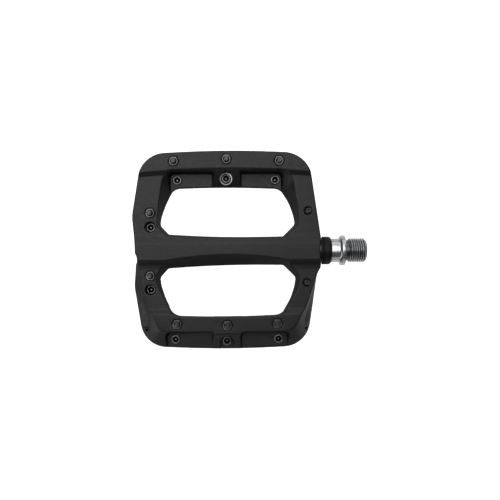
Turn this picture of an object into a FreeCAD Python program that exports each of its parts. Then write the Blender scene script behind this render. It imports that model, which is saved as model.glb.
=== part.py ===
import FreeCAD, Part
import math
import os

# Flat pedal, right-hand side: moulded nylon platform turning on a steel spindle.
# Frame: the spindle axis is X and +X points at the crank. The origin is the centre of the
# spindle flange's seat, the face that tightens against the crank arm. +Z is up, +Y is the rear.
# The platform is the same on both faces: half a turn about the spindle axis maps it onto itself.

V = FreeCAD.Vector
X_AXIS = V(1, 0, 0)
Z_AXIS = V(0, 0, 1)

# ---- driving dimensions, mm; platform sizes are about the platform's own centre ----
PLATFORM_X = -69.2         # platform centre, from the flange seat
HALF_THICK = 8.5           # rail height above and below the spindle axis
ARM_TOP = 6.9              # height of the side arms
RAMP_FOOT = -3.5           # height at which the leading ramp meets the outer wall
STRIP_Z = 4.5              # lower edge of the bevel along the ramp's top
LEDGE_Z = -3.7             # floor of the pockets that hold the rail pins' heads
SCOOP_Z = 0.8              # lower edge of the scooped side of the beam
FLANK_TOP = 1.2            # floor of the hollow flanks, at the ridge
FLANK_FOOT = -3.0          # and at their outer edge
LEDGE_FOOT_Z = -3.0        # lower edge of the slope inside the rear rail
END_X = 55.4               # inboard end face of the beam
END_TOP_X = 54.1           # the same face at the top, set back by its draft
CAP_SEAT_X = -51.4         # seat of the end cap's flange

PIN_RADIUS = 1.5
PIN_TIP = 12.0             # height of every screw's tip
HEAD_RADIUS = 2.55
HEAD_HEIGHT = 2.2
SOCKET_FLATS = 3.0
NUT_FLATS = 5.0
NUT_HEIGHT = 2.4
NUT_STANDS = 0.35          # how far a nut stands above the face round it
HEX_POCKET_FLATS = 5.4
COUNTERBORE_RADIUS = 2.95
ARM_SEAT = 0.0             # seat of the arm pins' heads, seen from the head's side
WASHER_RADIUS = 3.7
WASHER_THICK = 0.7
WASHER_LIP = 0.3           # height of the cupped washer's rim beyond the head's seat
GRUB_BOTTOM = 1.0
GRUB_TIP = 11.0
GRUB_RECESS_RADIUS = 2.15  # recess round a grub pin in the face
GRUB_RECESS_DEPTH = 1.4

THREAD_MAJOR = 7.144       # 9/16 inch
THREAD_PITCH = 1.27        # 20 threads per inch
THREAD_ROOT = 6.42
THREAD_START = 2.2         # from the flange seat
THREAD_END = 12.5
THREAD_LEAD_IN = 1.3       # length of the cone at the thread's end
THREAD_END_RADIUS = 5.8
HEX_KEY_FLATS = 8.0
HEX_KEY_DEPTH = 9.0

JOURNAL_RADIUS = 5.0       # inboard journal in the bush
SHAFT_RADIUS = 4.2
SHAFT_END_X = -50.6        # outboard end of the spindle
SHOULDER_X = -40.0         # shoulder that the bearing sits against
NECK_X = 61.0              # end of the seal collar and start of the neck
RUNNING_CLEARANCE = 0.05
BUSH_OUTER = 6.5
FLANGE_OUTER = 7.6

BEARING_BORE = 3.0         # 6 x 13 x 5 mm cartridge bearing
BEARING_OUTER = 6.5
BEARING_WIDTH = 5.0
BEARING_X = -45.0          # outboard side of the bearing
BALL_RADIUS = 1.2
BALL_COUNT = 9
BALL_CLEARANCE = 0.04
NUT_THREAD = 2.5           # M5 end of the spindle

BUSH_X = 39.6
BUSH_FLANGE_X = 53.0
SEAL_BORE = 6.2
SEAL_RADIUS = 8.2
SEAL_NOSE = 7.3            # part of the seal inside the platform
CAP_FLANGE = 0.9
CAP_FLANGE_RADIUS = 7.1
O_RING_RADIUS = 6.1
O_RING_SECTION = 0.4

parts = {}


# ---- drawing helpers ----
def rounded(corners, z):
    """Closed wire at height z through corners (x, y, radius), each rounded by its radius."""
    edges = []
    count = len(corners)
    ends = []
    for i, (x, y, r) in enumerate(corners):
        here = V(x, y, z)
        back = V(*corners[i - 1][:2], z) - here
        ahead = V(*corners[(i + 1) % count][:2], z) - here
        back.normalize()
        ahead.normalize()
        half = back.getAngle(ahead) / 2
        reach = r / math.tan(half)
        bisector = back + ahead
        bisector.normalize()
        middle = here + bisector * (r / math.sin(half) - r)
        ends.append((here + back * reach, middle, here + ahead * reach))
    for i, (start, middle, end) in enumerate(ends):
        edges.append(Part.Arc(start, middle, end).toShape())
        edges.append(Part.makeLine(end, ends[(i + 1) % count][0]))
    return Part.Wire(edges)


def prism(corners, low, high):
    return Part.Face(rounded(corners, low)).extrude(V(0, 0, high - low))


def ruled(*levels):
    """Solid with straight-sided walls between rounded outlines given as (corners, z)."""
    return Part.makeLoft([rounded(corners, z) for corners, z in levels], True, True)


def beyond(outline, z, next_outline, next_z, share):
    """Carry the straight walls from one outline to the next on past it by a share of the way."""
    further = [(nx + share * (nx - x), ny + share * (ny - y), r)
               for (x, y, _), (nx, ny, r) in zip(outline, next_outline)]
    return further, next_z + share * (next_z - z)


def bar(profile, low, high):
    """Extrude a closed (y, z) polygon along X."""
    points = [V(low, y, z) for y, z in profile]
    return Part.Face(Part.makePolygon(points + points[:1])).extrude(V(high - low, 0, 0))


def turned(profile):
    """Solid of revolution about the spindle axis from a closed (x, radius) polygon."""
    points = [V(x, 0, r) for x, r in profile]
    face = Part.Face(Part.makePolygon(points + points[:1]))
    return face.revolve(V(0, 0, 0), X_AXIS, 360)


def ring(x0, x1, inner, outer, bevel=0.0):
    """Ring about the spindle axis with its two outer edges bevelled."""
    return turned([(x0, inner), (x1, inner), (x1, outer - bevel), (x1 - bevel, outer),
                   (x0 + bevel, outer), (x0, outer - bevel)])


def rod(x, y, radius, low, high):
    return Part.makeCylinder(radius, high - low, V(x, y, low), Z_AXIS)


def hexagon(flats, low, high, x=0.0, y=0.0):
    """Upright hexagonal prism with two corners along X."""
    corner = flats / math.sqrt(3)
    turns = [math.radians(60 * i) for i in range(7)]
    points = [V(x + corner * math.cos(a), y + corner * math.sin(a), low) for a in turns]
    return Part.Face(Part.makePolygon(points)).extrude(V(0, 0, high - low))


def lying(shape, x):
    """Turn an upright shape to lie along the spindle axis, its base at x."""
    shape.rotate(V(0, 0, 0), V(0, 1, 0), 90)
    shape.translate(V(x, 0, 0))
    return shape


def flipped(shape):
    """The same shape on the other face: half a turn about the spindle axis."""
    other = shape.copy()
    other.rotate(V(0, 0, 0), X_AXIS, 180)
    return other


# ---- where the pins stand on a face, as (place, x, y, surface, seat) ----
# surface is the face height round the nut, seat the height of the head's shoulder
RAIL_PINS = [
    ("rear_left", -30.5, 52.1), ("rear_centre", 0.0, 53.15), ("rear_right", 30.5, 52.1),
    ("front_left", -29.0, -42.1), ("front_centre", 0.0, -43.0), ("front_right", 29.0, -42.1),
]
ARM_PINS = [("arm_rear", -44.4, 22.3), ("arm_front", -44.4, -14.1)]
GRUB_PINS = [("rear", 47.2, 23.2), ("front", 46.3, -18.4)]
PINS = [(name, x, y, HALF_THICK, -LEDGE_Z) for name, x, y in RAIL_PINS]
PINS += [(name, x, y, ARM_TOP, ARM_SEAT) for name, x, y in ARM_PINS]


# ---- platform body ----
def silhouette():
    """Outline seen from above, the same to the front and to the rear of the axis."""
    rear = [(-49.1, 56.4, 16.5), (0, 58.6, 600), (47.6, 56.5, 17), (54.5, 8.9, 1.0), (END_X, 8.4, 0.4)]
    front = [(x, -y, r) for x, y, r in reversed(rear)]
    return [(-52.9, 0, 50), (-54.9, 20.5, 20)] + rear + front + [(-54.9, -20.5, 20)]


def ramp_outline(waist, side_left, corner_left, front, corner_right, side_right, end_right):
    """Outline that bounds the front half at one height and leaves the rear half whole."""
    margin = 66
    return [(-margin, margin, 4), (-margin, 8, 4), waist, side_left, corner_left, front,
            corner_right, side_right, end_right, (margin, 2, 4), (margin, margin, 4)]


def ramp_keep():
    """Everything inside the ramp, and the bevel strip over it, that run round the front half."""
    top = ramp_outline((-52.3, -1, 6), (-48.6, -22.5, 30), (-39.4, -45.7, 3.2), (0, -49.2, 350),
                       (38.0, -46.7, 10), (46.3, -29.7, 30), (53.0, -11, 12))
    strip = ramp_outline((-52.9, -2, 6), (-50.4, -22.5, 30), (-43.2, -48.6, 6), (0, -51.9, 400),
                         (41.2, -49.6, 10), (47.6, -30.2, 30), (53.6, -11, 12))
    foot = ramp_outline((-54.2, -3, 6), (-54.9, -20.5, 20), (-49.1, -56.4, 16.5), (0, -58.6, 600),
                        (47.6, -56.5, 17), (51.5, -30, 30), (54.4, -10, 6))
    above, above_z = beyond(strip, STRIP_Z, top, HALF_THICK, 0.3)
    to_underside = (HALF_THICK + 1 + RAMP_FOOT) / (STRIP_Z - RAMP_FOOT)
    below, below_z = beyond(strip, STRIP_Z, foot, RAMP_FOOT, to_underside)
    return ruled((above, above_z), (strip, STRIP_Z), (below, below_z))


def window_outline(beam_middle, beam, diagonal, side, bulge, corner, rail):
    """Window outline to the rear of the axis from its left-hand and right-hand corners."""
    left, right = zip(beam, diagonal, side, bulge, corner)
    return [beam_middle] + list(left) + [rail] + list(reversed(right))


NARROW = window_outline((0, 7.9, 600), [(-33.8, 10.2, 2.4), (33.0, 8.4, 2.4)],
                        [(-38.6, 15.5, 3.0), (40.1, 15.7, 3.0)], [(-37.9, 20.0, 12), (39.2, 20.4, 12)],
                        [(-35.3, 27.6, 25), (36.9, 27.6, 25)], [(-30.6, 37.3, 8), (31.4, 37.0, 8)],
                        (0, 38.4, 600))
WIDE = window_outline((0, 7.9, 900), [(-35.4, 9.3, 2.2), (34.4, 8.4, 2.2)],
                      [(-40.4, 14.4, 2.6), (42.3, 15.0, 2.6)], [(-40.3, 20.0, 12), (42.4, 21.0, 12)],
                      [(-39.8, 30.0, 25), (41.4, 30.0, 25)], [(-37.6, 46.9, 6), (39.2, 46.9, 6)],
                      (0, 48.6, 600))
SCOOPED = window_outline((0, 0.0, 190), [(-36.3, 5.2, 6), (34.6, 4.8, 6)],
                         [(-42.3, 14.2, 5), (43.3, 14.6, 5)], [(-40.6, 21.0, 12), (41.7, 21.4, 12)],
                         [(-36.4, 27.9, 25), (38.5, 27.9, 25)], [(-31.4, 37.4, 6.5), (32.4, 37.1, 6.5)],
                         (0, 38.4, 600))


def arm_steps():
    """Material taken off the side arms, and off the beam's slopes, between the rails."""
    above = HALF_THICK + 4
    reach = 70
    floor, top = ([(-reach, beam, 1), (-reach, end, 1), (0, rail, 560), (reach, end, 1), (reach, beam, 1)]
                  for beam, rail, end in ((9.1, 48.75, 41.2), (4.4, 51.15, 43.6)))
    rear = ruled((floor, ARM_TOP), beyond(floor, ARM_TOP, top, HALF_THICK, 0.5))
    front = [(-5.2, HALF_THICK), (-6.2, 7.75), (-8.0, ARM_TOP + 0.15), (-10.4, ARM_TOP - 0.1),
             (-33.6, ARM_TOP - 0.1), (-36.2, HALF_THICK), (-36.2, above), (-5.2, above)]
    return [rear, bar(front, -reach, reach)]


def pocket(left, right, wall, mouth, left_radius, right_radius, draft):
    """Drafted pocket with its floor at LEDGE_Z, from its wall out past its open side."""
    outward = math.copysign(draft, wall - mouth)
    levels = []
    for z, share in ((LEDGE_Z, 0), (HALF_THICK + 4, 1)):
        far = wall + share * outward
        start = left - share * draft
        end = right + share * draft
        levels.append(([(start, far, left_radius), (end, far, right_radius), (end, mouth, 1),
                        (start, mouth, 1)], z))
    return ruled(*levels)


def head_pockets():
    """Pockets for the pins' heads: two in the rear ledge, two and an arch in the front ramp."""
    arch = [(-4.0, -49.15, 3.9), (4.0, -49.15, 3.9), (4.0, -64, 1), (-4.0, -64, 1)]
    return [
        pocket(-33.4, -7.8, 46.2, 30, 3.0, 1.4, 1.5),
        pocket(8.8, 33.0, 46.2, 30, 1.4, 3.0, 1.5),
        pocket(-35.6, -8.9, -47.9, -64, 3.6, 1.2, 1.8),
        pocket(8.4, 35.8, -47.9, -64, 3.6, 2.4, 1.8),
        prism(arch, LEDGE_Z, HALF_THICK + 4),
    ]


def flank_recesses():
    """Hollows in the outer side of the front arms, each with a small notch in front of it."""
    outside = 62
    notch_half = 1.3
    notch_length = 1.8
    left = [(-53.2, -9, 1), (-50.7, -22.5, 30), (-46.1, -39.5, 4), (-45.6, -44.9, 0.3)]
    left_low = [(-54.6, -9, 1), (-54.3, -20.5, 20), (-51.7, -39.5, 4), (-50.8, -44.9, 0.3)]
    right = [(53.3, -12, 1), (48.2, -30.2, 30), (45.4, -40.5, 4), (45.6, -44.5, 0.3)]
    right_low = [(54.0, -12, 1), (51.2, -30, 30), (49.9, -40.5, 4), (49.3, -44.5, 0.3)]
    cuts = []
    for side, high, low in ((-outside, left, left_low), (outside, right, right_low)):
        high, low = ([(side, edge[0][1], 1)] + edge + [(side, edge[-1][1], 0.3)] for edge in (high, low))
        cuts.append(ruled((low, FLANK_FOOT), (high, FLANK_TOP)))
        cuts.append(prism(high, FLANK_TOP, HALF_THICK + 4))
    for x, y, tip in ((-47.1, -45.4, -47.4), (46.5, -45.0, 46.8)):
        notch = [(x - notch_half, y, 0.2), (x + notch_half, y, 0.2), (tip, y - notch_length, 0.2)]
        cuts.append(prism(notch, FLANK_FOOT, HALF_THICK))
    return cuts


def end_draft():
    """Wedge that sets the beam's end face back towards the top."""
    foot = 2.0
    beyond_end = 60
    half_width = 12
    profile = [V(x, -half_width, z) for x, z in (
        (END_X, foot), (END_TOP_X, HALF_THICK), (END_TOP_X, HALF_THICK + 1), (beyond_end, HALF_THICK + 1),
        (beyond_end, foot), (END_X, foot))]
    return Part.Face(Part.makePolygon(profile)).extrude(V(0, 2 * half_width, 0))


def pin_holes(name, x, y, surface, seat):
    """Shank hole, nut pocket and head bore for one pin that stands out of the upper face."""
    head_bore = COUNTERBORE_RADIUS
    floor = seat
    if name == "front_centre":
        head_bore = WASHER_RADIUS + 0.2
        floor = seat + WASHER_THICK
    return [
        rod(x, y, PIN_RADIUS + 0.1, -20, 20),
        hexagon(HEX_POCKET_FLATS, surface + NUT_STANDS - NUT_HEIGHT, 20, x, y),
        rod(x, y, head_bore, -20, floor),
    ]


def spindle_bore():
    """Bore for the bush, the shaft, the cartridge bearing and the end cap."""
    return turned([
        (-60, 0), (-60, CAP_FLANGE_RADIUS + 0.1), (CAP_SEAT_X, CAP_FLANGE_RADIUS + 0.1),
        (CAP_SEAT_X, BEARING_OUTER), (BEARING_X + BEARING_WIDTH, BEARING_OUTER),
        (BEARING_X + BEARING_WIDTH, SHAFT_RADIUS + 1.0), (BUSH_X, SHAFT_RADIUS + 1.0),
        (BUSH_X, BUSH_OUTER), (BUSH_FLANGE_X, BUSH_OUTER), (BUSH_FLANGE_X, FLANGE_OUTER),
        (60, FLANGE_OUTER), (60, 0),
    ])


def platform_body():
    keep = ramp_keep()
    body = prism(silhouette(), -HALF_THICK, HALF_THICK).common(keep).common(flipped(keep))
    rear_window = ruled((NARROW, LEDGE_FOOT_Z), beyond(NARROW, LEDGE_FOOT_Z, WIDE, HALF_THICK, 0.1))
    front_window = ruled((NARROW, SCOOP_Z), beyond(NARROW, SCOOP_Z, SCOOPED, HALF_THICK, 0.1))
    front_window = front_window.mirror(V(0, 0, 0), V(0, 1, 0))
    cuts = [prism(NARROW, -20, 20), rear_window, front_window] + arm_steps() + head_pockets()
    cuts += flank_recesses() + [end_draft()]
    for pin in PINS:
        cuts += pin_holes(*pin)
    for _, x, y in GRUB_PINS:
        cuts.append(rod(x, y, PIN_RADIUS + 0.02, GRUB_BOTTOM, 20))
        cuts.append(rod(x, y, GRUB_RECESS_RADIUS, ARM_TOP - GRUB_RECESS_DEPTH, 20))
    cuts += [flipped(cut) for cut in cuts]
    return body.cut(cuts).cut(spindle_bore()).removeSplitter()


# ---- pins ----
def screw(x, y, seat):
    """Socket-head screw pointing up: its head hangs below the seat."""
    tip_bevel = 0.35
    rim_bevel = 0.3
    socket_floor = seat - 0.8
    shank = rod(x, y, PIN_RADIUS, seat, PIN_TIP - tip_bevel)
    tip = Part.makeCone(PIN_RADIUS, PIN_RADIUS - tip_bevel, tip_bevel, V(x, y, PIN_TIP - tip_bevel), Z_AXIS)
    head = rod(x, y, HEAD_RADIUS, seat - HEAD_HEIGHT + rim_bevel, seat)
    rim = Part.makeCone(HEAD_RADIUS - rim_bevel, HEAD_RADIUS, rim_bevel,
                        V(x, y, seat - HEAD_HEIGHT), Z_AXIS)
    socket = hexagon(SOCKET_FLATS, seat - HEAD_HEIGHT, socket_floor, x, y)
    return head.fuse([rim, shank, tip]).removeSplitter().cut(socket)


def hex_nut(x, y, surface):
    """Hex nut let into the face, its corners turned off above."""
    top = surface + NUT_STANDS
    corner = NUT_FLATS / math.sqrt(3)
    turned_off = 0.45
    dome = rod(x, y, corner + 0.1, top - NUT_HEIGHT, top - turned_off)
    dome = dome.fuse(Part.makeCone(corner + 0.1, NUT_FLATS / 2 - 0.2, turned_off,
                                   V(x, y, top - turned_off), Z_AXIS))
    blank = hexagon(NUT_FLATS, top - NUT_HEIGHT, top, x, y).common(dome)
    return blank.cut(rod(x, y, PIN_RADIUS + 0.02, top - NUT_HEIGHT - 1, top + 1))


def cupped_washer(x, y, seat):
    """Washer between a head and the body, with a lip that rises round the head."""
    lip = seat - WASHER_LIP
    top = seat + WASHER_THICK
    blank = rod(x, y, WASHER_RADIUS, lip, top)
    cup = Part.makeCone(WASHER_RADIUS - 0.35, HEAD_RADIUS + 0.05, WASHER_LIP, V(x, y, lip), Z_AXIS)
    return blank.cut([cup, rod(x, y, PIN_RADIUS + 0.1, lip - 1, top + 1)])


def grub_pin(x, y):
    bevel = 0.35
    shank = rod(x, y, PIN_RADIUS, GRUB_BOTTOM, GRUB_TIP - bevel)
    tip = Part.makeCone(PIN_RADIUS, PIN_RADIUS - bevel, bevel, V(x, y, GRUB_TIP - bevel), Z_AXIS)
    return shank.fuse(tip).removeSplitter()


def add_pins():
    for name, x, y, surface, seat in PINS:
        for face, turn in (("top", Part.Shape.copy), ("bottom", flipped)):
            parts[f"pin_{face}_{name}"] = turn(screw(x, y, seat))
            parts[f"pin_nut_{face}_{name}"] = turn(hex_nut(x, y, surface))
            if name == "front_centre":
                parts[f"pin_washer_{face}"] = turn(cupped_washer(x, y, seat))
    for name, x, y in GRUB_PINS:
        for face, turn in (("top", Part.Shape.copy), ("bottom", flipped)):
            parts[f"grub_pin_{face}_{name}"] = turn(grub_pin(x, y))


# ---- spindle and what turns on it ----
def thread_groove():
    """Helical groove of the crank thread, from the undercut to past the spindle's end."""
    outside = THREAD_MAJOR + 0.3
    half_open = THREAD_PITCH / 2 - 0.09 + 0.3 * math.tan(math.radians(30))
    half_root = 0.08
    profile = Part.makePolygon([V(outside, 0, -half_open), V(THREAD_ROOT, 0, -half_root),
                                V(THREAD_ROOT, 0, half_root), V(outside, 0, half_open),
                                V(outside, 0, -half_open)])
    length = THREAD_END - THREAD_START + 2.2 * THREAD_PITCH
    helix = Part.Wire(Part.makeHelix(THREAD_PITCH, length, THREAD_MAJOR).Edges)
    groove = helix.makePipeShell([profile], True, True)
    return lying(groove, THREAD_START - 1.1 * THREAD_PITCH - PLATFORM_X)


def spindle():
    face_x = -PLATFORM_X
    flange_x = face_x - 2.25
    fillet = 1.7
    neck = 7.0
    flange = 8.85
    bevel = 0.3
    start = face_x + THREAD_START
    end = face_x + THREAD_END
    undercut = 5.9
    before = [(SHAFT_END_X, 0), (SHAFT_END_X, NUT_THREAD - 0.5), (SHAFT_END_X + 0.5, NUT_THREAD),
              (-44.6, NUT_THREAD), (-44.6, BEARING_BORE), (SHOULDER_X, BEARING_BORE),
              (SHOULDER_X, 4.1), (SHOULDER_X + 2.0, SHAFT_RADIUS), (34.0, SHAFT_RADIUS),
              (38.0, JOURNAL_RADIUS), (54.7, JOURNAL_RADIUS), (54.7, SEAL_BORE),
              (NECK_X, SEAL_BORE), (NECK_X, neck - bevel), (NECK_X + bevel, neck),
              (flange_x - fillet, neck)]
    after = [(flange_x, neck + fillet), (flange_x, flange - bevel / 2), (flange_x + bevel, flange),
             (face_x - bevel, flange), (face_x, flange - bevel), (face_x, undercut),
             (start, undercut), (start, THREAD_ROOT - 0.1), (start + 0.7, THREAD_MAJOR),
             (end - THREAD_LEAD_IN, THREAD_MAJOR), (end, THREAD_END_RADIUS), (end, 0)]
    hollow = fillet * math.sqrt(0.5)
    arc = Part.Arc(V(flange_x - fillet, 0, neck),
                   V(flange_x - fillet + hollow, 0, neck + fillet - hollow),
                   V(flange_x, 0, neck + fillet)).toShape()
    first = Part.makePolygon([V(x, 0, r) for x, r in before])
    last = Part.makePolygon([V(x, 0, r) for x, r in after])
    closing = Part.makeLine(V(end, 0, 0), V(SHAFT_END_X, 0, 0))
    face = Part.Face(Part.Wire(first.Edges + [arc] + last.Edges + [closing]))
    solid = face.revolve(V(0, 0, 0), X_AXIS, 360)
    socket = lying(hexagon(HEX_KEY_FLATS, 0, HEX_KEY_DEPTH + 5), end - HEX_KEY_DEPTH)
    return solid.cut(thread_groove()).cut(socket)


def bearing():
    """Outboard cartridge bearing: races, balls, cage and shields."""
    x0 = BEARING_X
    x1 = BEARING_X + BEARING_WIDTH
    middle = (x0 + x1) / 2
    pitch = (BEARING_BORE + BEARING_OUTER) / 2
    inner_top = 4.15
    outer_bottom = 5.35
    groove = Part.makeTorus(pitch, BALL_RADIUS + BALL_CLEARANCE, V(middle, 0, 0), X_AXIS)
    parts["bearing_inner_race"] = ring(x0, x1, BEARING_BORE, inner_top).cut(groove)
    parts["bearing_outer_race"] = ring(x0, x1, outer_bottom, BEARING_OUTER, 0.25).cut(groove)
    places = []
    for i in range(BALL_COUNT):
        turn = 2 * math.pi * i / BALL_COUNT
        places.append(V(middle, pitch * math.cos(turn), pitch * math.sin(turn)))
    parts["bearing_balls"] = Part.makeCompound([Part.makeSphere(BALL_RADIUS, p) for p in places])
    pockets = [Part.makeSphere(BALL_RADIUS + BALL_CLEARANCE, p) for p in places]
    parts["bearing_cage"] = ring(middle - 1.6, middle + 1.6, 4.4, 5.1).cut(pockets)
    for side, x in (("outboard", x0 + 0.1), ("inboard", x1 - 0.35)):
        parts[f"bearing_shield_{side}"] = ring(x, x + 0.25, inner_top + 0.15, outer_bottom)


def spindle_fittings():
    """Seal collar and bush at the crank end; washer, locknut, cap and O-ring at the other."""
    collar_x = 56.2
    parts["inboard_seal"] = turned([
        (54.8, SEAL_BORE), (NECK_X, SEAL_BORE), (NECK_X, 7.5), (NECK_X - 1.0, SEAL_RADIUS),
        (collar_x + 0.3, SEAL_RADIUS), (collar_x, SEAL_RADIUS - 0.3), (collar_x, SEAL_NOSE),
        (54.8, SEAL_NOSE)])
    bore = JOURNAL_RADIUS + RUNNING_CLEARANCE
    parts["inboard_bush"] = turned([
        (BUSH_X, bore), (BUSH_FLANGE_X + 1.2, bore), (BUSH_FLANGE_X + 1.2, FLANGE_OUTER),
        (BUSH_FLANGE_X, FLANGE_OUTER), (BUSH_FLANGE_X, BUSH_OUTER), (BUSH_X, BUSH_OUTER)])
    parts["spindle_washer"] = ring(BEARING_X - 0.8, BEARING_X, NUT_THREAD + 0.1, 4.0)
    nut_x = BEARING_X - 3.5
    locknut = lying(hexagon(8.0, 0, 2.7), nut_x)
    collar = ring(nut_x - 1.1, nut_x, NUT_THREAD, 3.8)
    bore_cut = lying(rod(0, 0, NUT_THREAD, 0, 8), nut_x - 2.5)
    parts["spindle_locknut"] = locknut.fuse(collar).cut(bore_cut).removeSplitter()
    cap_x = CAP_SEAT_X - CAP_FLANGE
    inside_x = -51.1
    groove_x = -50.7
    groove_end = groove_x + 2 * O_RING_SECTION
    groove_floor = O_RING_RADIUS - O_RING_SECTION
    cap = turned([
        (cap_x, 0), (cap_x, CAP_FLANGE_RADIUS - 0.4), (cap_x + 0.4, CAP_FLANGE_RADIUS),
        (CAP_SEAT_X, CAP_FLANGE_RADIUS), (CAP_SEAT_X, BEARING_OUTER), (groove_x, BEARING_OUTER),
        (groove_x, groove_floor), (groove_end, groove_floor), (groove_end, BEARING_OUTER),
        (BEARING_X, BEARING_OUTER), (BEARING_X, 5.4), (BEARING_X - 0.6, 5.0), (inside_x, 5.0),
        (inside_x, 0)])
    slot = Part.makeBox(0.8, 1.6, 9.0, V(cap_x, -0.8, -4.5))
    parts["end_cap"] = cap.cut(slot)
    ring_x = groove_x + O_RING_SECTION
    parts["end_cap_o_ring"] = Part.makeTorus(O_RING_RADIUS, O_RING_SECTION, V(ring_x, 0, 0), X_AXIS)


parts["platform_body"] = platform_body()
parts["spindle"] = spindle()
bearing()
spindle_fittings()
add_pins()

os.makedirs("parts", exist_ok=True)
for name, shape in parts.items():
    shape.translate(V(PLATFORM_X, 0, 0))
    shape.exportStep(f"parts/{name}.step")
    size = shape.BoundBox
    print(f"{name:28s} solids {len(shape.Solids)} valid {shape.isValid()} volume {shape.Volume:9.2f} "
          f"x {size.XMin:.2f} {size.XMax:.2f} z {size.ZMin:.2f} {size.ZMax:.2f}")
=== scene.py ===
import math

import bmesh
import bpy
from mathutils import Matrix, Vector


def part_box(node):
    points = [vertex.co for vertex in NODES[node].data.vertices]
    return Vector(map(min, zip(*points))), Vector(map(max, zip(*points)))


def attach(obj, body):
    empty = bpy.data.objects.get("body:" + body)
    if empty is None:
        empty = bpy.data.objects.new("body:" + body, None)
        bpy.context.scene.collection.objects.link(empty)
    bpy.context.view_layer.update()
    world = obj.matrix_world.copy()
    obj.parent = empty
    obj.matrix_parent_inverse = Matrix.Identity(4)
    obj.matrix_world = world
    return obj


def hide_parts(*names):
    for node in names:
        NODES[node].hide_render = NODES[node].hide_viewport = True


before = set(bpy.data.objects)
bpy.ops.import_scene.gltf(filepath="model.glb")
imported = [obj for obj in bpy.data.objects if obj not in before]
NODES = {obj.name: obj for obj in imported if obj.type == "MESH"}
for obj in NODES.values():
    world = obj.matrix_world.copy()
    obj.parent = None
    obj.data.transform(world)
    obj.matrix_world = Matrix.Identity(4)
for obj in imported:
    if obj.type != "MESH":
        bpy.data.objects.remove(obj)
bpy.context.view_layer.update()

MM = 0.001
TURN = 2 * math.pi

PLATFORM_X = -69.2         # centre of the platform, from the flange seat, mm
TIPS_FROM = 9.0 * MM       # the pins' base colour is darkened beyond this height


# ---- material graphs ----
def graph(name):
    """New material with its node tree, its shader and a helper that adds and wires nodes."""
    made = bpy.data.materials.new(name)
    made.use_nodes = True
    tree = made.node_tree
    shader = tree.nodes["Principled BSDF"]

    def add(kind, settings=(), **sockets):
        node = tree.nodes.new("ShaderNode" + kind)
        for key, value in dict(settings).items():
            setattr(node, key, value)
        for key, value in sockets.items():
            socket = node.inputs[key.replace("_", " ")] if key != "i0" else node.inputs[0]
            if isinstance(value, bpy.types.NodeSocket):
                tree.links.new(value, socket)
            else:
                socket.default_value = value
        return node

    return made, tree, shader, add


def stretched(add, stretch):
    """Object coordinates scaled by a different amount along each axis."""
    place = add("TexCoord").outputs["Object"]
    return add("Mapping", Vector=place, Scale=stretch).outputs["Vector"]


def noise(add, where, scale, detail=2.0, roughness=0.5, distortion=0.0):
    return add("TexNoise", Vector=where, Scale=scale, Detail=detail, Roughness=roughness,
               Distortion=distortion).outputs["Fac"]


def ramp(add, value, stops):
    """Colour ramp through (position, grey or colour) stops."""
    node = add("ValToRGB", Fac=value)
    elements = node.color_ramp.elements
    while len(elements) < len(stops):
        elements.new(0.5)
    for element, (position, tone) in zip(elements, stops):
        colour = tone if isinstance(tone, tuple) else (tone, tone, tone)
        element.position = position
        element.color = (*colour, 1)
    return node.outputs["Color"]


def bump(tree, add, shader, layers):
    """Stack of bump layers (height socket, strength, distance in mm), the coarse ones first."""
    normal = None
    for height, strength, distance in layers:
        node = add("Bump", Height=height, Strength=strength, Distance=distance * MM)
        if normal is not None:
            tree.links.new(normal, node.inputs["Normal"])
        normal = node.outputs["Normal"]
    tree.links.new(normal, shader.inputs["Normal"])


def nylon():
    """Glass-filled nylon: near black, with a fine spark-eroded grain and faint flow marks."""
    made, tree, shader, add = graph("moulded_nylon")
    even = stretched(add, (1, 1, 1))
    flow = noise(add, stretched(add, (60, 260, 90)), 1.0, 3.0, 0.55, 0.6)
    grain = noise(add, even, 2600.0, 4.0, 0.62)
    speck = noise(add, even, 900.0, 2.0, 0.5)
    shade = ramp(add, grain, [(0.30, (0.0080, 0.0080, 0.0090)), (0.70, (0.0160, 0.0160, 0.0172))])
    cloud = ramp(add, flow, [(0.3, 0.80), (0.7, 1.12)])
    tinted = add("Mix", {"data_type": "RGBA", "blend_type": "MULTIPLY"}, i0=1.0)
    tree.links.new(shade, tinted.inputs[6])
    tree.links.new(cloud, tinted.inputs[7])
    tree.links.new(tinted.outputs[2], shader.inputs["Base Color"])
    tree.links.new(ramp(add, speck, [(0.3, 0.38), (0.7, 0.50)]), shader.inputs["Roughness"])
    shader.inputs["Specular IOR Level"].default_value = 0.5
    bump(tree, add, shader, [(flow, 0.10, 0.10), (grain, 0.35, 0.05)])
    return made


def turned_steel(name, tone, roughness, ridge=2400.0, shaded_roots=False):
    """Plated steel, turned on a lathe: fine rings round X and a cloudy plating."""
    made, tree, shader, add = graph(name)
    rings = noise(add, stretched(add, (ridge, 20, 20)), 1.0, 3.0, 0.6)
    haze = noise(add, stretched(add, (1, 1, 1)), 320.0, 3.0, 0.55)
    bright = tuple(c * 1.06 for c in tone)
    dull = tuple(c * 0.86 for c in tone)
    tree.links.new(ramp(add, haze, [(0.3, dull), (0.7, bright)]), shader.inputs["Base Color"])
    low = ramp(add, rings, [(0.3, roughness * 0.8), (0.7, roughness * 1.25)])
    tree.links.new(low, shader.inputs["Roughness"])
    shader.inputs["Metallic"].default_value = 1.0
    bump(tree, add, shader, [(rings, 0.22, 0.02)])
    # painted shade in the thread roots and the undercut
    if shaded_roots:
        paint_thread_root_shade(tree, add, shader)
    return made


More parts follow.
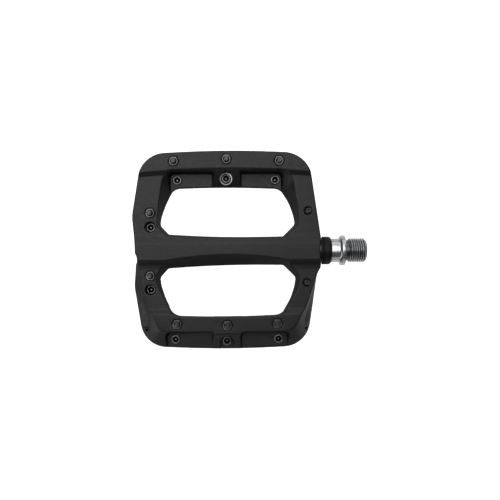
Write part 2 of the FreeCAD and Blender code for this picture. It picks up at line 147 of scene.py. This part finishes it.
def paint_thread_root_shade(tree, add, shader):
    """Painted shade: darken the base colour towards the root of the crank thread and in its undercut, where
    shade falls.
    """
    place = add("TexCoord").outputs["Object"]
    along = add("SeparateXYZ", Vector=place).outputs["X"]
    across = add("Mapping", Vector=place, Scale=(0, 1, 1)).outputs["Vector"]
    reach = add("VectorMath", {"operation": "LENGTH"}, i0=across).outputs["Value"]
    root_shade = add("MapRange", Value=reach, From_Min=6.50 * MM, From_Max=6.95 * MM, To_Min=0.26,
                To_Max=1.12).outputs["Result"]
    ahead_of_thread = add("Math", {"operation": "LESS_THAN"}, i0=along)
    ahead_of_thread.inputs[1].default_value = 0.05 * MM
    shade_factor = add("Math", {"operation": "MAXIMUM"}, i0=root_shade)
    tree.links.new(ahead_of_thread.outputs[0], shade_factor.inputs[1])
    tinted = add("Mix", {"data_type": "RGBA", "blend_type": "MULTIPLY"}, i0=1.0)
    tree.links.new(shader.inputs["Base Color"].links[0].from_socket, tinted.inputs[6])
    tree.links.new(shade_factor.outputs[0], tinted.inputs[7])
    tree.links.new(tinted.outputs[2], shader.inputs["Base Color"])


def black_steel(name, dark, light, roughness):
    """Blackened steel with a mottled oxide, a few worn specks and a base colour darkened beyond TIPS_FROM
    in height, towards the pin tips.
    """
    made, tree, shader, add = graph(name)
    even = stretched(add, (1, 1, 1))
    mottle = noise(add, even, 1500.0, 4.0, 0.6)
    worn = noise(add, even, 520.0, 5.0, 0.7)
    oxide = ramp(add, mottle, [(0.3, (dark, dark, dark * 1.06)), (0.75, (light, light, light * 1.05))])
    spots = ramp(add, worn, [(0.62, 0.0), (0.74, 1.0)])
    mixed = add("Mix", {"data_type": "RGBA"})
    tree.links.new(spots, mixed.inputs[0])
    tree.links.new(oxide, mixed.inputs[6])
    mixed.inputs[7].default_value = (light * 1.8, light * 1.8, light * 1.8, 1)
    height = add("SeparateXYZ", Vector=add("TexCoord").outputs["Object"]).outputs["Z"]
    beyond = add("Math", {"operation": "ABSOLUTE"}, i0=height).outputs[0]
    dull = add("MapRange", Value=beyond, From_Min=TIPS_FROM, From_Max=TIPS_FROM + 0.3 * MM, To_Min=1.0,
               To_Max=0.26).outputs["Result"]
    tip_darkened = add("Mix", {"data_type": "RGBA", "blend_type": "MULTIPLY"}, i0=1.0)
    tree.links.new(mixed.outputs[2], tip_darkened.inputs[6])
    tree.links.new(dull, tip_darkened.inputs[7])
    tree.links.new(tip_darkened.outputs[2], shader.inputs["Base Color"])
    rough = ramp(add, mottle, [(0.3, roughness * 0.85), (0.7, roughness * 1.2)])
    tree.links.new(rough, shader.inputs["Roughness"])
    shader.inputs["Metallic"].default_value = 0.95
    bump(tree, add, shader, [(worn, 0.12, 0.03), (mottle, 0.2, 0.02)])
    return made


def soft_black(name, tone, roughness, scale=1400.0, gloss=0.4):
    """Rubber or plain moulded plastic: dark, dull and faintly dusty."""
    made, tree, shader, add = graph(name)
    even = stretched(add, (1, 1, 1))
    skin = noise(add, even, scale, 3.0, 0.6)
    dust = noise(add, even, 160.0, 4.0, 0.6)
    darker = tuple(c * 0.8 for c in tone)
    lighter = tuple(c * 1.25 for c in tone)
    tree.links.new(ramp(add, dust, [(0.3, darker), (0.7, lighter)]), shader.inputs["Base Color"])
    rough = ramp(add, skin, [(0.3, roughness * 0.85), (0.7, min(1.0, roughness * 1.15))])
    tree.links.new(rough, shader.inputs["Roughness"])
    shader.inputs["Specular IOR Level"].default_value = gloss
    bump(tree, add, shader, [(skin, 0.2, 0.03)])
    return made


LOOKS = {
    "moulded_nylon": nylon(),
    # plated steel with painted shade in the crank thread roots
    "plated_steel": turned_steel("plated_steel", (0.67, 0.68, 0.69), 0.27, shaded_roots=True),
    "bearing_steel": turned_steel("bearing_steel", (0.62, 0.62, 0.63), 0.14),
    "cage_steel": turned_steel("cage_steel", (0.52, 0.50, 0.46), 0.34),
    "shield_steel": turned_steel("shield_steel", (0.55, 0.56, 0.58), 0.30),
    "zinc_steel": turned_steel("zinc_steel", (0.56, 0.58, 0.60), 0.36),
    "bright_washer": turned_steel("bright_washer", (0.60, 0.60, 0.59), 0.28),
    "black_screw": black_steel("black_screw", 0.22, 0.33, 0.29),
    "black_grub": black_steel("black_grub", 0.16, 0.26, 0.34),
    "black_nut": black_steel("black_nut", 0.14, 0.23, 0.27),
    "seal_collar": soft_black("seal_collar", (0.009, 0.009, 0.010), 0.48, gloss=0.24),
    "bush_polymer": soft_black("bush_polymer", (0.035, 0.035, 0.037), 0.50, gloss=0.3),
    "cap_plastic": soft_black("cap_plastic", (0.028, 0.028, 0.030), 0.48),
    "o_ring_rubber": soft_black("o_ring_rubber", (0.016, 0.016, 0.016), 0.7),
}


# ---- mesh code ----
def circle(radius, z, count=48):
    return [Vector((radius * math.cos(TURN * i / count), radius * math.sin(TURN * i / count), z))
            for i in range(count)]


def hex_reach(flats, angle):
    """Distance from the middle of a hexagon, corners along X, to its side at an angle."""
    sixth = TURN / 6
    return flats / 2 / math.cos(angle % sixth - sixth / 2)


CROWN_SLOPE = 0.58         # fall of the cone that turns off a nut's corners


def hexagon(flats, z, count=48, crown=None):
    """Hexagonal ring; with crown, its corners are turned off by a cone from that radius out."""
    ring = []
    for i in range(count):
        angle = TURN * i / count
        reach = hex_reach(flats, angle)
        drop = 0 if crown is None else (reach - crown) * CROWN_SLOPE
        ring.append(Vector((reach * math.cos(angle), reach * math.sin(angle), z - drop)))
    return ring


def threaded(radius, depth, pitch, low, high, fade=0.5, count=48, steps=8):
    """Rings of a right-hand thread about Z, running out at both ends."""
    rings = []
    total = math.ceil((high - low) / pitch * steps)
    for k in range(total + 1):
        z = low + (high - low) * k / total
        ease = min(1.0, (z - low) / fade, (high - z) / fade)
        ring = []
        for i in range(count):
            phase = (z / pitch - i / count) % 1.0
            flank = abs(2 * phase - 1)
            cut = depth * max(0.0, min(1.0, (flank - 0.12) / 0.76)) * max(0.0, ease)
            angle = TURN * i / count
            ring.append(Vector(((radius - cut) * math.cos(angle), (radius - cut) * math.sin(angle), z)))
        rings.append(ring)
    return rings


def turned_down(rings, stops):
    """Keep the rings inside a profile of (height, radius) stops, as a lathe would."""
    for point in (p for ring in rings for p in ring):
        for (z0, r0), (z1, r1) in zip(stops, stops[1:]):
            limit = r0 + (r1 - r0) * (point.z - z0) / (z1 - z0)
            if z0 <= point.z <= z1 and point.xy.length > limit:
                point.xy = point.xy * (limit / point.xy.length)
    return rings


def loft(name, rings, node, place, look, closed=False, sharp=32, body="platform"):
    """One piece from a stack of rings with as many points each, standing for a CAD node.

    The two ends are capped, or with closed the last ring is joined to the first.
    """
    mesh = bmesh.new()
    rows = [[mesh.verts.new(place @ (point * MM)) for point in ring] for ring in rings]
    count = len(rings[0])
    pairs = list(zip(rows, rows[1:])) + ([(rows[-1], rows[0])] if closed else [])
    for lower, upper in pairs:
        for i in range(count):
            j = (i + 1) % count
            mesh.faces.new((lower[i], lower[j], upper[j], upper[i]))
    if not closed:
        mesh.faces.new(rows[0][::-1])
        mesh.faces.new(rows[-1])
    bmesh.ops.recalc_face_normals(mesh, faces=mesh.faces)
    data = bpy.data.meshes.new(name)
    mesh.to_mesh(data)
    mesh.free()
    return fitted(name, data, node, look, sharp, body)


def fitted(name, data, node, look, sharp, body):
    """Object for finished mesh data: shading, material, and its place in the frame."""
    piece = bpy.data.objects.new(name, data)
    bpy.context.scene.collection.objects.link(piece)
    data.shade_smooth()
    data.set_sharp_from_angle(angle=math.radians(sharp))
    data.materials.append(LOOKS[look])
    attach(piece, body)
    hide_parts(node)
    return piece


def standing(node):
    """Place of an upright piece: its middle in plan, turned over for the lower face, and its span."""
    low, high = (Vector(corner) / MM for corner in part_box(node))
    turned_over = "_bottom" in node
    place = Matrix.Translation(((low.x + high.x) / 2 * MM, (low.y + high.y) / 2 * MM, 0))
    if turned_over:
        place = place @ Matrix.Rotation(math.pi, 4, "X")
        return place, -high.z, -low.z
    return place, low.z, high.z


ALONG_X = Matrix.Rotation(math.pi / 2, 4, "Y")


# ---- platform ----
def soft_body(node, voxel, faces):
    """Moulded copy of a CAD node: every edge gets the small radius that a mould gives it."""
    data = NODES[node].data.copy()
    mesh = bmesh.new()
    mesh.from_mesh(data)
    bmesh.ops.remove_doubles(mesh, verts=mesh.verts, dist=0.002 * MM)
    mesh.to_mesh(data)
    mesh.free()
    data.materials.clear()
    rough = bpy.data.objects.new("rough_casting", data)
    bpy.context.scene.collection.objects.link(rough)
    remesh = rough.modifiers.new("skin", "REMESH")
    remesh.mode = "VOXEL"
    remesh.voxel_size = voxel * MM
    smooth = rough.modifiers.new("mould_radius", "SMOOTH")
    smooth.factor = 0.5
    smooth.iterations = 4
    fewer = rough.modifiers.new("fewer", "DECIMATE")
    fewer.ratio = faces
    settled = bpy.context.evaluated_depsgraph_get()
    shaped = bpy.data.meshes.new_from_object(rough.evaluated_get(settled))
    bpy.data.objects.remove(rough)
    return shaped


casting = soft_body("platform_body", 0.32, 0.16)
fitted("platform_casting", casting, "platform_body", "moulded_nylon", 60, "platform")


# ---- pins ----
def paint_recess_shade(piece, place, chosen):
    """Painted shade: give the faces whose middle is chosen, in the piece's own mm, a near-black colour
    standing in for the shade of an unlit recess.
    """
    piece.data.materials.append(RECESS_SHADE)
    back = place.inverted()
    for face in piece.data.polygons:
        if chosen(back @ face.center / MM):
            face.material_index = 1


# near-black colour painted as shade in the screws' hex sockets and the washers' hollows
RECESS_SHADE = soft_black("greasy_recess", (0.006, 0.006, 0.006), 0.6, gloss=0.15)

# the pins are M3 hardware, mm
SHANK = 1.5
PITCH = 0.5
THREAD_DEPTH = 0.28
CORE = 1.40                # radius at the end of the thread
RUN_OUT = 0.32             # unthreaded length at a tip
HEX_KEY = 3.0
HEAD = 2.55
HEAD_HEIGHT = 2.2
NUT_FLATS = 5.0
WASHER = 3.7


def pin_thread(low, high):
    return threaded(SHANK, THREAD_DEPTH, PITCH, low, high - RUN_OUT)


for node in sorted(n for n in NODES if n.startswith("pin_") and "nut" not in n and "washer" not in n):
    place, low, high = standing(node)
    seat = low + HEAD_HEIGHT
    floor = low + 2.1
    rings = [circle(0.20, floor + 0.02), circle(0.40, floor), hexagon(HEX_KEY, low + 0.9),
             hexagon(HEX_KEY, low + 0.3), circle(1.92, low), circle(2.3, low), circle(2.42, low + 0.08),
             circle(2.53, low + 0.26), circle(HEAD, low + 0.5), circle(HEAD, seat - 0.12),
             circle(2.48, seat), circle(SHANK, seat)]
    rings += pin_thread(seat + 0.2, high)
    rings += [circle(CORE, high - 0.24), circle(1.16, high), circle(0.5, high)]
    screw = loft(node.replace("pin_", "screw_"), rings, node, place, "black_screw", sharp=38)
    # painted shade inside the hex socket
    paint_recess_shade(screw, place, lambda spot: spot.xy.length < 1.86 and low + 0.05 < spot.z < floor - 0.05)

for node in sorted(n for n in NODES if n.startswith("grub_pin_")):
    place, low, high = standing(node)
    rings = [circle(1.1, low), circle(SHANK - 0.1, low + 0.3)]
    rings += pin_thread(low + 0.4, high)
    rings += [circle(CORE, high - 0.24), circle(1.30, high), hexagon(1.3, high), hexagon(1.3, high - 1.2),
              circle(0.2, high - 1.4)]
    loft(node.replace("grub_pin_", "grub_"), rings, node, place, "black_grub", sharp=38)

for node in sorted(n for n in NODES if n.startswith("pin_nut_")):
    place, low, high = standing(node)
    rings = [circle(1.52, low + 0.2), circle(1.85, low), circle(2.3, low),
             hexagon(NUT_FLATS, low + 0.3, crown=2.5), hexagon(NUT_FLATS, low + 0.35),
             hexagon(NUT_FLATS, high - 0.10, crown=2.36), circle(2.34, high - 0.02),
             circle(2.30, high), circle(2.02, high), circle(1.56, high - 0.46)]
    loft(node.replace("pin_nut_", "nut_"), rings, node, place, "black_nut", closed=True, sharp=20)

for node in ("pin_washer_top", "pin_washer_bottom"):
    place, low, high = standing(node)
    bore = SHANK + 0.1
    hollow = low + 0.3
    rings = [circle(bore, hollow), circle(2.6, hollow), circle(2.92, low + 0.24), circle(3.0, hollow),
             circle(3.02, low + 0.14), circle(3.64, low), circle(WASHER, low + 0.07),
             circle(WASHER, high - 0.06), circle(3.64, high), circle(bore, high)]
    washer = loft(node.replace("pin_", ""), rings, node, place, "bright_washer", closed=True, sharp=5)
    # painted shade in the washer's hollow
    paint_recess_shade(washer, place, lambda spot: spot.xy.length < 2.98 and spot.z < hollow + 0.05)


# ---- spindle and its seal collar ----
def about_axis(profile, count=96):
    """Rings about the spindle axis through (x, radius) points given from the platform's centre."""
    return [circle(r, x + PLATFORM_X, count) for x, r in profile]


def spindle():
    """Turned spindle: tail, bearing seat, shaft, journal, neck, flange, thread and key socket."""
    count = 96
    neck = 7.0
    fillet = 1.7
    flange = 8.85
    flange_x = -2.25
    shaft = [(-50.6, 0.6), (-50.6, 2.0), (-50.1, 2.5), (-44.6, 2.5), (-44.6, 3.0), (-40.0, 3.0),
             (-40.0, 4.1), (-38.0, 4.2), (34.0, 4.2), (38.0, 5.0), (54.7, 5.0), (54.7, 6.2),
             (61.0, 6.2), (61.0, neck - 0.25), (61.1, neck - 0.07), (61.3, neck)]
    curve = []
    for k in range(9):
        turn = math.pi / 2 * k / 8
        curve.append((flange_x - fillet + fillet * math.sin(turn), neck + fillet - fillet * math.cos(turn)))
    collar = [(flange_x, flange - 0.15), (flange_x + 0.08, flange - 0.05), (flange_x + 0.3, flange),
              (-0.3, flange), (-0.08, flange - 0.07), (0, flange - 0.25), (0, 5.95), (0.06, 5.9),
              (2.14, 5.9)]
    end = 12.5
    crest = 7.144
    rings = about_axis(shaft, count) + [circle(r, x, count) for x, r in curve + collar]
    thread = threaded(crest, 0.74, 1.27, 2.2, end - 0.1, 0.05, count, 30)
    rings += turned_down(thread, [(2.2, 6.3), (2.9, crest), (end - 1.3, crest), (end, 5.8)])
    rings += [circle(5.72, end - 0.02, count), circle(5.64, end, count), circle(5.0, end, count),
              circle(4.8, end - 0.2, count), hexagon(8.0, end - 0.5, count),
              hexagon(8.0, end - 9.0, count), circle(3.6, end - 9.2, count), circle(0.4, end - 10.4, count)]
    loft("spindle_turned", rings, "spindle", ALONG_X, "plated_steel", sharp=35, body="axle")


spindle()
seal = [(54.8, 6.2), (54.8, 7.15), (54.95, 7.3), (56.1, 7.3), (56.2, 7.4), (56.2, 7.8), (56.28, 8.03),
        (56.5, 8.2), (59.85, 8.2), (60.1, 8.15), (60.85, 7.62), (60.97, 7.5), (61.0, 7.3), (61.0, 6.2)]
loft("seal_moulded", about_axis(seal), "inboard_seal", ALONG_X, "seal_collar", closed=True, sharp=40,
     body="axle")


# ---- pieces carried over from the frame ----
CARRIED = {
    "inboard_bush": "bush_polymer", "bearing_inner_race": "bearing_steel",
    "bearing_outer_race": "bearing_steel", "bearing_balls": "bearing_steel", "bearing_cage": "cage_steel",
    "bearing_shield_outboard": "shield_steel", "bearing_shield_inboard": "shield_steel",
    "spindle_washer": "zinc_steel", "spindle_locknut": "zinc_steel", "end_cap": "cap_plastic",
    "end_cap_o_ring": "o_ring_rubber",
}
for node, look in CARRIED.items():
    carried = NODES[node]
    carried.data.materials.clear()
    carried.data.materials.append(LOOKS[look])
    if node in ("end_cap", "spindle_locknut", "spindle_washer"):
        edge = carried.modifiers.new("soft_edges", "BEVEL")
        edge.width = 0.12 * MM
        edge.segments = 2
        edge.limit_method = "ANGLE"
        edge.harden_normals = True


# ---- studio ----
def glowing(name, tone, glow, **seen):
    """Make the active object a glowing sheet of the studio, hidden from the rays turned off."""
    made, tree, shader, add = graph(name)
    shader.inputs["Base Color"].default_value = (tone, tone, tone, 1)
    shader.inputs["Roughness"].default_value = 0.9
    shader.inputs["Specular IOR Level"].default_value = 0.1
    shader.inputs["Emission Color"].default_value = (1, 1, 1, 1)
    shader.inputs["Emission Strength"].default_value = glow
    sheet = bpy.context.object
    sheet.name = name
    for ray, allowed in seen.items():
        setattr(sheet, "visible_" + ray, allowed)
    sheet.data.materials.append(made)


def plane(name, size, place, tone, glow, **seen):
    """Glowing sheet lying under the pedal."""
    bpy.ops.mesh.primitive_plane_add(size=1, location=place)
    bpy.context.object.scale = (*size, 1)
    glowing(name, tone, glow, **seen)


def lamp(name, place, size, power, target=(-0.07, 0, 0)):
    data = bpy.data.lights.new(name, "AREA")
    data.shape = "RECTANGLE"
    data.size, data.size_y = size
    data.energy = power
    lit = bpy.data.objects.new(name, data)
    lit.location = place
    lit.rotation_euler = (Vector(target) - Vector(place)).to_track_quat("-Z", "Y").to_euler()
    bpy.context.scene.collection.objects.link(lit)


FLOOR_Z = -0.0620          # low enough for the platform to turn above it, m
CARD = dict(camera=False, diffuse=False, shadow=False)
plane("studio_floor", (6, 6), (0, 0, FLOOR_Z), 0.92, 0.95, glossy=False)
plane("bounce_card", (6, 6), (0, 0, -0.0125), 0.0, 0.17, **CARD)
plane("spindle_card", (0.09, 0.16), (0.034, 0, -0.0123), 0.0, 0.60, **CARD)
bpy.ops.mesh.primitive_uv_sphere_add(segments=48, ring_count=24, radius=2.9)
glowing("backdrop", 0.0, 1.0, glossy=False, diffuse=False, shadow=False, transmission=False)
lamp("overhead", (-0.16, 0.24, 0.85), (0.80, 0.74), 3.2)
lamp("rear_wall", (-0.15, 1.0, 0.62), (1.7, 0.9), 2.6)
lamp("low_rear", (-0.10, 0.95, 0.17), (1.8, 0.30), 1.0)
lamp("low_left", (-0.85, -0.50, 0.09), (0.9, 0.22), 1.5)
lamp("low_front", (-0.25, -0.90, 0.16), (1.3, 0.34), 0.55)

world = bpy.data.worlds.new("studio")
world.use_nodes = True
world.node_tree.nodes["Background"].inputs["Color"].default_value = (1, 1, 1, 1)
world.node_tree.nodes["Background"].inputs["Strength"].default_value = 0.06
bpy.context.scene.world = world
bpy.context.scene.view_settings.view_transform = "Standard"

eye = bpy.data.cameras.new("camera")
eye.lens = 46.4
eye.sensor_width = 36
eye.shift_x = 0.07
eye.clip_start = 0.01
eye.clip_end = 20
camera = bpy.data.objects.new("camera", eye)
camera.location = (-0.0760, 0.0007, 0.380)
camera.rotation_euler = (0, 0, -0.0064)
bpy.context.scene.collection.objects.link(camera)
bpy.context.scene.camera = camera
